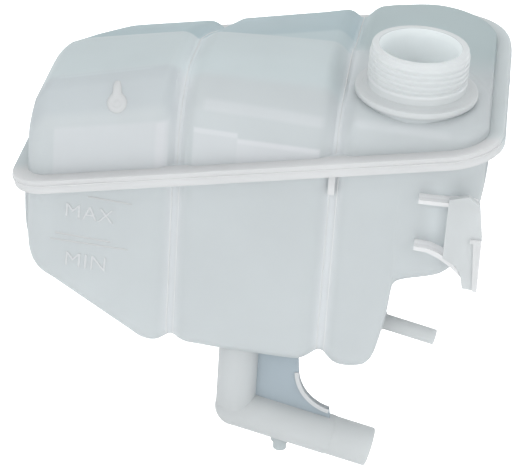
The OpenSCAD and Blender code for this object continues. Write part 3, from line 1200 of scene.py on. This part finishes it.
@dataclass(frozen=True)
class DropBoss:
    """Small drop-shaped boss on the left chamber's sloping face."""

    centre: Point = (-152.3, -27.3, -38.8)
    tip: Point = (-153.6, -19.1, -29.1)
    radius: float = 5.4
    sides: int = 48
    neck_half: float = 2.3
    rings: tuple[tuple[float, float], ...] = (
        (1.04, -0.6),
        (1.0, 0.1),
        (0.93, 0.5),
        (0.82, 0.85),
        (0.68, 1.05),
        (0.54, 1.0),
        (0.42, 0.75),
        (0.28, 0.75),
        (0.12, 1.0),
        (0.01, 1.05),
    )

    def reach(self, angle: float, length: float) -> float:
        """Outline of the drop: a disc with a short round-ended neck.

        Args:
            angle: Angle from the tip's direction, in radians.
            length: Distance from centre to tip.

        Returns:
            Distance from the centre to the outline.
        """
        if math.cos(angle) <= 0:
            return self.radius
        half, middle = self.neck_half, length - self.neck_half
        off = middle * math.sin(angle)
        if abs(off) < half:
            far = middle * math.cos(angle) + math.sqrt(half * half - off * off)
        else:
            far = half / abs(math.sin(angle))
        return (self.radius**6 + min(far, length) ** 6) ** (1 / 6)

    def add_to(self, builder: MeshBuilder) -> None:
        """Adds the boss, settled on the faces built so far.

        Args:
            builder: Where the faces go; it holds the roof.
        """
        roof = BVHTree.FromPolygons([Vector(p) for p in builder.points], builder.faces)
        centre = Vector(self.centre)
        spot, normal, _, _ = roof.find_nearest(centre)
        if normal.y > 0:
            normal = -normal
        up = Vector(self.tip) - centre
        length = up.length
        up = (up - normal * up.dot(normal)).normalized()
        side = up.cross(normal)
        points = []
        for share, high in self.rings:
            for k in range(self.sides):
                angle = 2 * math.pi * k / self.sides
                angle = angle - 2 * math.pi if angle > math.pi else angle
                r = share * (self.reach(angle, length - 0.8) if share > 0.6 else self.radius)
                at = spot + (up * math.cos(angle) + side * math.sin(angle)) * r
                hit = roof.ray_cast(at + normal * 20, -normal)[0]
                points.append(tuple((hit or at) + normal * high))
        faces = []
        for i in range(len(self.rings) - 1):
            for k in range(self.sides):
                j = (k + 1) % self.sides
                a, b = i * self.sides, (i + 1) * self.sides
                faces.append((a + k, a + j, b + j, b + k))
        last = (len(self.rings) - 1) * self.sides
        faces.append(tuple(range(last, last + self.sides)))
        faces.append(tuple(range(self.sides - 1, -1, -1)))
        builder.add(points, faces, PALETTE.boss)


@dataclass(frozen=True)
class ThreadedNeck:
    """Filler neck with its thread, bead and collar."""

    radius: float = 25.2
    bore: float = 19.8
    crest: float = 0.8
    pitch: float = 3.0
    ridge_half: float = 0.40
    ridge_flank: float = 0.26
    run_out: float = 1.2
    thread_top: float = -2.6
    thread_foot: float = -16.6
    collar: float = 32.2
    collar_top: float = -23.5
    collar_foot: float = -27.3
    root: float = -33.0
    lead: float = 1.9
    sides: int = 120

    @cached_property
    def profile(self) -> list[tuple[float, float]]:
        """Closed outline of the neck's section, as pairs of radius and height."""
        r, b, c = self.radius, self.bore, self.collar
        top, foot = self.collar_top, self.collar_foot
        points = [(b + self.lead, 0.0), (r - 1.0, 0.0), (r - 0.35, -0.25), (r, -0.9)]
        points += [(r, float(z)) for z in np.arange(-1.2, self.thread_foot - 0.2, -0.15)]
        points += [(r + 0.2, -17.0), (r + 0.85, -17.4), (r + 1.0, -18.0), (r + 0.85, -18.7)]
        points += [(r + 0.45, -19.1)]
        points += [(r + 0.4, -20.6), (r + 0.6, -22.4), (r + 1.4, top + 0.9), (r + 2.8, top + 0.15)]
        points += [(r + 3.4, top)]
        points += [(c - 0.9, top), (c - 0.25, top - 0.25), (c, top - 0.9), (c, foot + 1.2)]
        points += [(c - 0.4, foot + 0.4)]
        points += [(c - 0.9, foot), (c - 1.8, foot - 0.9), (c - 2.6, foot - 2.4)]
        points += [(c - 2.9, self.root), (b, self.root)]
        points += [(b, -4.6), (b + 0.2, -3.6), (b + 0.7, -2.2), (b + self.lead - 0.3, -0.4)]
        return points

    def swell(self, index: int, angle: float) -> float:
        """Height of the thread.

        Args:
            index: Which profile point.
            angle: Angle round the neck, in radians.

        Returns:
            Extra radius.
        """
        r, z = self.profile[index]
        if r != self.radius or not self.thread_foot <= z <= self.thread_top:
            return 0.0
        turn = (self.thread_top - z) / self.pitch - angle / (2 * math.pi)
        slope = clamp01((self.ridge_half - abs((turn % 1.0) - 0.5)) / self.ridge_flank)
        ridge = slope * slope * (3 - 2 * slope)
        fade = clamp01((self.thread_top - z) / self.run_out)
        fade *= clamp01((z - self.thread_foot) / self.run_out)
        return self.crest * ridge * fade

    def add_to(self, builder: MeshBuilder) -> None:
        """Adds the neck.

        Args:
            builder: Where the faces go.
        """
        lit_bore = self.bore + self.lead - 0.1
        builder.lathe(self.profile, PALETTE.neck, sides=self.sides, swell=self.swell, bore=lit_bore)


@dataclass
class LowerShell:
    """Walls and floors of the chambers with the outlet, vent, pin and bracket."""

    name: str = "lower_moulding"
    fall: float = 12.6
    flange_drop: float = 1.7
    groove_share: float = 0.75
    draft: float = 2.2
    outlet_r: float = 11.1
    outlet_bore: float = 8.3
    elbow: Point = (-81.8, -16.0, -224.0)
    column_rise: float = 44.0
    outlet_len: float = 79.0
    hose_len: float = 23.0
    vent_root: Point = (-7.2, -14.0, -158.4)
    vent_r: float = 4.3
    vent_bore: float = 2.5
    vent_len: float = 32.4
    pin_x: float = -55.3
    pin_r: float = 3.9
    pin_down: float = 7.0
    web_top: tuple[float, float] = (-49.2, -180.5)
    web_centre: tuple[float, float] = (58.5, 29.0)
    web_radius: float = 24.5
    web_turn: tuple[float, float] = (184.0, 256.0)
    web_half: float = 1.3
    rim_half: float = 2.1
    rim_width: float = 2.2
    tab_x: float = -37.6
    tab_w: float = 3.4
    tab_h: float = 16.6
    bracket_out: float = 7.6
    plate_t: float = 3.0
    beads: tuple[float, ...] = (-121.0, -117.3, -38.5, -34.6)

    def floor(self) -> list[tuple[float, float]]:
        """Outline of the floors.

        Returns:
            Pairs of x and z, resampled finely.
        """
        xl, xr = SIZES.left, SIZES.right
        gl, gr = SIZES.groove_left, SIZES.groove_right
        line = [(xl, SIZES.weld_z(xl)), (xl - 1.5, -97), (xl - 1.9, -116), (xl - 1.5, -126)]
        line += [(xl + 0.2, -134.5)]
        line += [(xl + 3.6, -140.6), (xl + 8.6, -145.0)]
        for u in (0.0, 0.16, 0.43, 0.68, 0.9, 1.0):
            line.append(((xl + 15) * (1 - u) + (gl - 17) * u, -148.6 * (1 - u) - 180.0 * u))
        line += [(gl - 13, -181.2), (gl - 9.5, -181.4)]
        line += [(gl - 6.5, -180.8), (gl - 3.6, -179.4), (gl - 1.6, -178.3), (gl + 0.2, -178.0)]
        line += [(gl + 2.4, -178.7)]
        line += [(gl + 5, -179.6), (gl + 9, -180.3), (gl + 17, -180.8), (-90, -181.6)]
        line += [(-78, -182.0), (-66, -182.3)]
        line += [(-54, -182.6), (-49, -182.4), (gr - 8.5, -181), (gr - 5, -178.9)]
        line += [(gr - 2.4, -177.3), (gr, -176.9)]
        line += [(gr + 2, -177.7), (gr + 4.4, -179.7), (gr + 7.4, -181.7), (gr + 11.5, -182.9)]
        line += [(gr + 17, -182.9)]
        line += [(-13, -181.2), (-9.4, -177.4), (-7.2, -171.8), (-5.6, -164), (-2.9, -148), (-1.7, -133)]
        line += [(-0.9, -128.4), (1.0, -126.0), (4.4, -124.5), (9, -123.1), (16, -121.2)]
        line += [(xr - 17.4, -118.6)]
        line += [(xr - 12, -114.4), (xr - 8.2, -106), (xr - 4.0, -95), (xr + 0.2, -78), (xr + 1.2, -60)]
        line += [(xr, SIZES.weld_z(xr))]
        fine = [line[0]]
        for i in range(1, len(line)):
            a = np.array(line[max(0, i - 2)], float)
            b = np.array(line[i - 1], float)
            c = np.array(line[i], float)
            d = np.array(line[min(len(line) - 1, i + 1)], float)
            long = i in (1, len(line) - 1)
            parts = 1 if long else max(1, int(math.ceil(np.linalg.norm(c - b) / 2.2)))
            for k in range(1, parts + 1):
                u = k / parts
                bend = (2 * a - 5 * b + 4 * c - d) * u**2 + (3 * b - a - 3 * c + d) * u**3
                p = 0.5 * (2 * b + (c - a) * u + bend)
                p = 0.6 * p + 0.4 * (b + (c - b) * u)
                fine.append((float(p[0]), float(p[1])))
        return fine

    def grid(self, t: float) -> np.ndarray:
        """Grid of points of one face of the shell.

        Args:
            t: Distance inward from the outer face.

        Returns:
            Points by station and by place round the section.
        """
        line = self.floor()
        rows = []
        for i, (x, z) in enumerate(line):
            nx, nz = turned(line, i)
            xin = x + t * nx
            on_edge = i in (0, len(line) - 1)
            z0 = SIZES.weld_z(xin)
            h = 0.0 if on_edge else z + t * nz - z0
            f = SIZES.front_y(xin, t)
            b = SIZES.back_y(xin, t)
            g = SIZES.groove(x) * self.groove_share
            lip = max(h, -SIZES.flange_t)
            draft = self.draft * min(1.0, -h / 100)
            foot = min(lip - 0.01, h)
            points = [(f, 0.0), (f + g, lip), (f + g + draft, foot), ((f + b) / 2, foot)]
            points += [(b - g - draft, foot), (b - g, lip), (b, 0.0)]
            row = []
            for y, high in rounded(points, [0, 0, 12, 0, 14, 0, 0], 8):
                row.append((xin, y, z0 + (0.0 if on_edge else high)))
            rows.append(row)
        return np.array(rows)

    def along(self, start: Point) -> Matrix:
        """Placement of a tube that falls to the right.

        Args:
            start: Where the tube's axis begins.

        Returns:
            The matrix, in millimetres.
        """
        turn = Matrix.Rotation(math.radians(90 + self.fall), 4, "Y")
        return shifted(start) @ turn

    def add_tubes(self, builder: MeshBuilder) -> None:
        """Adds the outlet column, its elbow and pipe, and the vent spigot.

        Args:
            builder: Where the faces go.
        """
        r, b, n = self.outlet_r, self.outlet_bore, self.outlet_len
        column = [(0.01, 0.0), (r, 0.0), (r, self.column_rise), (0.01, self.column_rise)]
        builder.lathe(column, PALETTE.pipe, shifted(self.elbow))
        arc = [math.radians(a) for a in range(-90, 91, 10)]
        ball = [((r + 0.45) * max(0.0005, math.cos(a)), (r + 0.45) * math.sin(a)) for a in arc]
        builder.lathe(ball, PALETTE.pipe, shifted(self.elbow))
        body, hose = r + 0.3, n - self.hose_len
        pipe = [(body, 0.0), (body, hose - 0.3), (r, hose), (r, n - 0.9), (r - 0.3, n - 0.25), (r - 0.9, n)]
        pipe += [(b + 0.5, n), (b, n - 0.5), (b, 0.0)]
        builder.lathe(pipe, PALETTE.pipe, self.along(self.elbow))
        r, b, n = self.vent_r, self.vent_bore, self.vent_len
        vent = [(r, 0.0), (r, n - 0.6), (r - 0.2, n - 0.15), (r - 0.6, n), (b + 0.3, n)]
        vent += [(b, n - 0.3), (b, 0.0)]
        builder.lathe(vent, PALETTE.pipe, self.along(self.vent_root), sides=40)
        collar = [(r + 1.1, -1.0), (r + 1.1, 3.0), (r + 0.9, 3.5), (r, 3.6), (b, 3.6), (b, -1.0)]
        builder.lathe(collar, PALETTE.pipe, self.along(self.vent_root), sides=40)

    def add_tab(self, builder: MeshBuilder) -> None:
        """Adds the short tab under the flange at the right groove.

        Args:
            builder: Where the faces go.
        """
        high = SIZES.weld_z(self.tab_x) - 2
        low = high - self.tab_h
        left, right = self.tab_x - self.tab_w / 2, self.tab_x + self.tab_w / 2
        outline = [(left, low), (right, low), (right, high), (left, high)]
        builder.prism(outline, SIZES.front_wall - 0.4, SIZES.front_wall + 5, PALETTE.edge)

    def add_web(self, builder: MeshBuilder) -> None:
        """Adds the web between column and pipe with its bright rim, and the pin.

        Args:
            builder: Where the faces go.
        """
        x, y, z = self.elbow
        edges = []
        for radius in (self.web_radius, self.web_radius + self.rim_width):
            edge = []
            for a in np.linspace(*(math.radians(turn) for turn in self.web_turn), 28):
                across, up = radius * math.cos(a), radius * math.sin(a)
                edge.append((x + self.web_centre[0] + across, z + self.web_centre[1] + up))
            edges.append(edge)
        arc, inner = edges
        outline = [(x, self.web_top[1]), self.web_top] + arc + [(x + 54, z - 5), (x + 54, z - 12), (x, z)]
        # The web's finish is painted shade.
        builder.prism(outline, y - self.web_half, y + self.web_half, PALETTE.thin)
        builder.prism(arc + inner[::-1], y - self.rim_half, y + self.rim_half, PALETTE.edge)
        under = (self.pin_x - x) * math.tan(math.radians(self.fall)) + self.outlet_r
        foot = z - under - self.pin_down
        r = self.pin_r
        pin = [(0.01, -1.0), (r - 0.6, -1.0), (r - 0.15, -0.7), (r, -0.2), (r, 4.2), (r + 1.2, 4.5)]
        pin += [(r + 1.4, 4.8)]
        pin += [(r + 1.4, 10.0), (0.01, 10.0)]
        # The pin's finish is painted shade.
        builder.lathe(pin, PALETTE.pin, shifted((self.pin_x, y, foot)), sides=40)

    def add_bracket(self, builder: MeshBuilder) -> None:
        """Adds the hose bracket at the right front corner.

        Args:
            builder: Where the faces go.
        """
        front = SIZES.front_wall - self.bracket_out
        plate = [(23.5, -70), (23.5, -65.4), (30, -63.4), (33.4, -62.4), (39.6, -66.6), (42.6, -86)]
        plate += [(43.2, -117)]
        plate += [(35.2, -116.4), (33.6, -108.4), (30.6, -103.6), (23.5, -99.6), (23.5, -95)]
        builder.prism(plate, front, front + self.plate_t, PALETTE.pipe)
        wall = SIZES.front_wall + 1.6
        arm = [(8, -69.4), (38.4, -69.4), (38.4, -68), (36.8, -67.2), (8, -67.2)]
        builder.prism(arm, front + 0.15, wall, PALETTE.arm)
        arm = [(8, -94.6), (15.4, -95), (21.4, -97.2), (26.8, -100.6), (31.4, -105), (34, -110)]
        arm += [(30.8, -107), (26.4, -103.4), (20.6, -99.8), (15, -97.4), (8, -96.8)]
        builder.prism(arm, front + 0.15, wall, PALETTE.arm)
        rib = [(36.6, -86.4), (42.6, -86.4), (43.2, -117), (40.6, -117), (38.4, -88.6), (36.6, -88.6)]
        builder.prism(rib, front - 1.2, front + 1, PALETTE.edge)

    def build(self) -> bpy.types.Object:
        """Makes the lower moulding.

        Returns:
            The finished object.
        """
        builder = MeshBuilder(self.name)
        outer = self.grid(0.0)
        skin = ShellSkin(outer, self.grid(SIZES.wall))
        skin.add_to(builder, PALETTE.wall, lambda c: True)
        for x in self.beads:
            SeamBead(x).add_to(builder, outer, PALETTE.bead)
        self.add_tab(builder)
        ring = FlangeRing()
        ring.add_half(builder, -1.0, SIZES.flange_t + self.flange_drop)
        ring.add_flash(builder)
        self.add_tubes(builder)
        self.add_web(builder)
        self.add_bracket(builder)
        obj = builder.make()
        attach(obj, "root")
        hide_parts(*Node.LOWER.value)
        return obj


@dataclass(frozen=True)
class LevelMarks:
    """Moulded level lines and words on the left chamber's front wall."""

    lines: tuple[tuple[float, float, float, float], ...] = (
        (-164.9, -91.8, -141.3, -93.5),
        (-182.2, -115.9, -152.4, -118.1),
        (-184.9, -119.9, -143.1, -121.7),
    )
    words: tuple[tuple[str, float, float, float], ...] = (
        ("MAX", -164.5, -106.0, 9.0),
        ("MIN", -166.0, -136.3, 9.5),
    )
    rise: float = 0.2
    thick: float = 0.8
    font_scale: float = 1.35
    spacing: float = 1.05
    lean: float = 3.5

    def settle(self, obj: bpy.types.Object, wall: BVHTree) -> None:
        """Lays a flat piece on the front wall.

        Args:
            obj: Piece whose y is its height over the wall.
            wall: The shell's faces.
        """
        for vertex in obj.data.vertices:
            start = Vector((vertex.co.x, -0.2, vertex.co.z))
            hit = wall.ray_cast(start, Vector((0, 1, 0)))[0]
            surface = hit.y if hit else SIZES.front_wall * MM
            vertex.co.y = surface + vertex.co.y

    def build(self, shell: bpy.types.Object) -> list[bpy.types.Object]:
        """Makes the lines and the words.

        Args:
            shell: The lower moulding that carries them.

        Returns:
            The finished objects.
        """
        wall = BVHTree.FromPolygons(
            [v.co.copy() for v in shell.data.vertices],
            [tuple(p.vertices) for p in shell.data.polygons],
        )
        builder = MeshBuilder("level_lines")
        steps = 8
        for x0, z0, x1, z1 in self.lines:
            points = []
            for k in range(steps + 1):
                x, z = x0 + (x1 - x0) * k / steps, z0 + (z1 - z0) * k / steps
                for y, half in ((-self.rise, 0.45), (0.3, 0.7)):
                    points += [(x, y, z - half * self.thick), (x, y, z + half * self.thick)]
            faces = [(0, 1, 3, 2), (4 * steps, 4 * steps + 2, 4 * steps + 3, 4 * steps + 1)]
            for k in range(steps):
                a = 4 * k
                faces += [(a + i, a + j, a + 4 + j, a + 4 + i) for i, j in ((0, 1), (1, 3), (3, 2), (2, 0))]
            builder.add(points, faces, PALETTE.boss)
        objects = [builder.make(sharp=75.0)]
        for word, x, z, height in self.words:
            curve = bpy.data.curves.new(f"word_{word.lower()}", "FONT")
            curve.body = word
            curve.size = height * MM * self.font_scale
            curve.align_x = "CENTER"
            curve.extrude = self.rise * MM
            curve.space_character = self.spacing
            holder = bpy.data.objects.new(curve.name, curve)
            bpy.context.scene.collection.objects.link(holder)
            bpy.context.view_layer.update()
            graph = bpy.context.evaluated_depsgraph_get()
            mesh = bpy.data.meshes.new_from_object(holder.evaluated_get(graph))
            bpy.data.objects.remove(holder)
            turn = Matrix.Rotation(math.radians(90), 4, "X")
            lean = Matrix.Rotation(math.radians(self.lean), 4, "Y")
            mesh.transform(shifted((x * MM, 0, z * MM)) @ lean @ turn)
            obj = bpy.data.objects.new(f"level_{word.lower()}", mesh)
            obj.data.materials.clear()
            obj.data.materials.append(PALETTE.get(PALETTE.mark))
            bpy.context.scene.collection.objects.link(obj)
            objects.append(obj)
        for obj in objects:
            self.settle(obj, wall)
            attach(obj, "root")
            log.info("%s settled on the wall", obj.name)
        return objects


@dataclass(frozen=True)
class Studio:
    """Floor, lights, world and camera."""

    floor_z: float = -460.0
    floor_half: float = 6.0
    target: Point = (-0.08, 0.05, -0.11)
    lights: tuple[tuple[str, Point, float, float], ...] = (
        ("key_light", (-0.9, -1.5, 0.9), 1.2, 11.0),
        ("fill_light", (1.2, -1.2, 0.4), 1.2, 6.0),
        ("rim_light", (0.2, 1.3, 1.2), 0.8, 3.0),
    )
    eye: Point = (22.64, -1036.1, 467.6)
    ahead: Point = (-0.08107, 0.86570, -0.49394)
    right: Point = (0.99001, 0.12732, 0.06065)
    above: Point = (-0.11540, 0.48409, 0.86737)
    lens: float = 150.57

    def world(self) -> None:
        """Sets a soft white surround."""
        world = bpy.data.worlds.new("studio_world")
        wiring = Wiring(world)
        dim = wiring.add("Background", Color=(0.97, 0.99, 1.0, 1.0), Strength=1.35)
        white = wiring.add("Background", Color=(1.0, 1.0, 1.0, 1.0), Strength=1.0)
        mix = wiring.blend(dim.outputs[0], white.outputs[0])
        wiring.link(wiring.seen_white(), mix.inputs["Fac"])
        wiring.link(mix.outputs[0], wiring.add("OutputWorld").inputs["Surface"])
        bpy.context.scene.world = world
        log.info("world set")

    def floor(self) -> None:
        """Lays a pale floor that keeps a faint shadow."""
        mesh = bpy.data.meshes.new("floor")
        s, z = self.floor_half, self.floor_z * MM
        mesh.from_pydata([(-s, -s, z), (s, -s, z), (s, s, z), (-s, s, z)], [], [(0, 1, 2, 3)])
        material = bpy.data.materials.new("floor_pale")
        wiring = Wiring(material)
        pale = wiring.add("BsdfDiffuse", Color=(0.7, 0.7, 0.7, 1.0))
        unseen = wiring.add("Emission", Strength=0.35)
        lift = wiring.add("Emission", Strength=0.75)
        mix = wiring.blend(unseen.outputs[0], lift.outputs[0])
        wiring.link(wiring.seen_white(), mix.inputs["Fac"])
        add = wiring.add("AddShader")
        wiring.link(pale.outputs[0], add.inputs[0])
        wiring.link(mix.outputs[0], add.inputs[1])
        wiring.link(add.outputs[0], wiring.add("OutputMaterial").inputs["Surface"])
        mesh.materials.append(material)
        obj = bpy.data.objects.new("floor", mesh)
        bpy.context.scene.collection.objects.link(obj)
        obj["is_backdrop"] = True
        log.info("floor at %.0f mm", self.floor_z)

    def light(self, name: str, at: Point, size: float, watts: float) -> None:
        """Adds a soft light aimed at the tank.

        Args:
            name: Name of the light.
            at: Place in metres.
            size: Edge of the square light in metres.
            watts: Power.
        """
        data = bpy.data.lights.new(name, "AREA")
        data.size = size
        data.energy = watts
        obj = bpy.data.objects.new(name, data)
        aim = Vector(self.target) - Vector(at)
        obj.matrix_world = shifted(at) @ aim.to_track_quat("-Z", "Y").to_matrix().to_4x4()
        bpy.context.scene.collection.objects.link(obj)
        log.info("%s %.0f W", name, watts)

    def camera(self) -> None:
        """Places the camera at the photograph's viewpoint."""
        data = bpy.data.cameras.new("camera")
        data.sensor_fit = "HORIZONTAL"
        data.sensor_width = 36.0
        data.lens = self.lens
        data.clip_start = 0.05
        data.clip_end = 30.0
        obj = bpy.data.objects.new("camera", data)
        back = tuple(-c for c in self.ahead)
        turn = Matrix((self.right, self.above, back)).transposed().to_4x4()
        obj.matrix_world = Matrix.Translation(Vector(self.eye) * MM) @ turn
        bpy.context.scene.collection.objects.link(obj)
        bpy.context.scene.camera = obj
        log.info("camera set")

    def build(self) -> None:
        """Builds the whole studio."""
        bpy.context.scene.view_settings.view_transform = "Standard"
        self.world()
        self.floor()
        for light in self.lights:
            self.light(*light)
        self.camera()


def write_sizes(last: tuple) -> None:
    """Logs a line for the shown object's box.

    Args:
        last: Lowest and highest corner with the looks on; not used.
    """
    log.info("sizes written")


def main() -> None:
    """Builds the tank and the studio."""
    UpperShell().build()
    lower = LowerShell().build()
    LevelMarks().build(lower)
    Studio().build()
    write_sizes(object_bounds())


if __name__ == "__main__":
    main()
